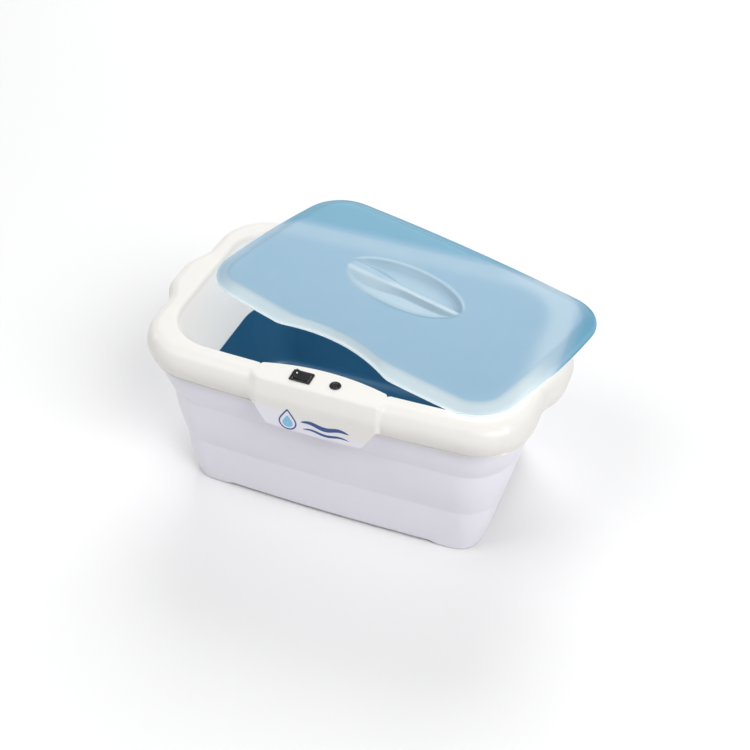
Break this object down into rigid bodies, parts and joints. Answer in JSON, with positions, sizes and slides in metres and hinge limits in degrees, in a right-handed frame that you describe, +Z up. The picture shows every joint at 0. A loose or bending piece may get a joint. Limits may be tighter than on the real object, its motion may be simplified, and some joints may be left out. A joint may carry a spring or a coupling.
{
  "type": "wax warmer pot",
  "caption": "Electric paraffin wax warmer: tiered tub with a rolled white rim and two handle ears, dark blue coated tank, front rocker switch and lamp, and a loose frosted blue lid.",
  "frame": {"origin": "on the floor plane through the underside of the four feet, under the middle of the tub", "axes": "+X along the tub's length, towards the lamp side of the control panel; +Y from the control panel at the front to the power inlet at the rear; +Z up"},
  "size_m": [0.4332, 0.3244, 0.2],
  "materials": {
    "body_plastic": "satin moulded shell",
    "rim_plastic": "smooth moulded cream white",
    "lid_plastic": "frosted translucent blue",
    "tank_coating": "dark blue non-stick coating on aluminium",
    "gasket_silicone": "moulded silicone",
    "heater_silicone": "silicone rubber heating mat",
    "glass_fibre": "needled glass fibre",
    "phenolic": "moulded phenolic",
    "plated_steel": "zinc plated",
    "brass": "stamped brass",
    "black_plastic": "fine moulded black",
    "lamp_lens": "dark smoked lens, unlit",
    "foot_rubber": "matte rubber",
    "wire_black": "insulated wire",
    "wire_white": "insulated wire",
    "wire_green": "insulated wire"
  },
  "bodies": {
    "tub": {"base_plate": "body_plastic", "base_screws": "plated_steel", "earth_nut": "plated_steel", "earth_stud": "plated_steel", "earth_tag": "brass", "foot_front_left": "foot_rubber", "foot_front_right": "foot_rubber", "foot_rear_left": "foot_rubber", "foot_rear_right": "foot_rubber", "fuse_clip": "plated_steel", "heater_mat": "heater_silicone", "inlet_pins": "brass", "insulation_band": "glass_fibre", "insulation_pad": "glass_fibre", "lamp_bezel": "black_plastic", "lamp_led": "lamp_lens", "lamp_lens": "lamp_lens", "outer_body": "body_plastic", "power_inlet": "black_plastic", "rim": "rim_plastic", "rim_screws": "plated_steel", "switch_housing": "black_plastic", "switch_terminals": "brass", "tank": "tank_coating", "tank_gasket": "gasket_silicone", "tank_screws": "plated_steel", "terminal_block": "phenolic", "thermal_fuse": "plated_steel", "thermostat": "phenolic", "thermostat_bracket": "plated_steel", "wire_fuse_neutral": "wire_white", "wire_heater_feed": "wire_black", "wire_heater_return": "wire_white", "wire_inlet_earth": "wire_green", "wire_inlet_live": "wire_black", "wire_inlet_neutral": "wire_white", "wire_lamp_neutral": "wire_white", "wire_switch_feed": "wire_black", "wire_tank_earth": "wire_green", "wire_thermostat": "wire_black"},
    "lid": {"lid": "lid_plastic"},
    "rocker": {"switch_rocker": "black_plastic"}
  },
  "joints": [
    {"name": "lid_lift", "type": "slide", "parent": "tub", "child": "lid", "axis": [0, 0, 1], "range_m": [0, 0.25]},
    {"name": "switch_rocker", "type": "hinge", "parent": "tub", "child": "rocker", "pos_m": [-0.0191, -0.1149, 0.192], "axis": [0, 1, 0], "range_deg": [-20, 0]}
  ]
}
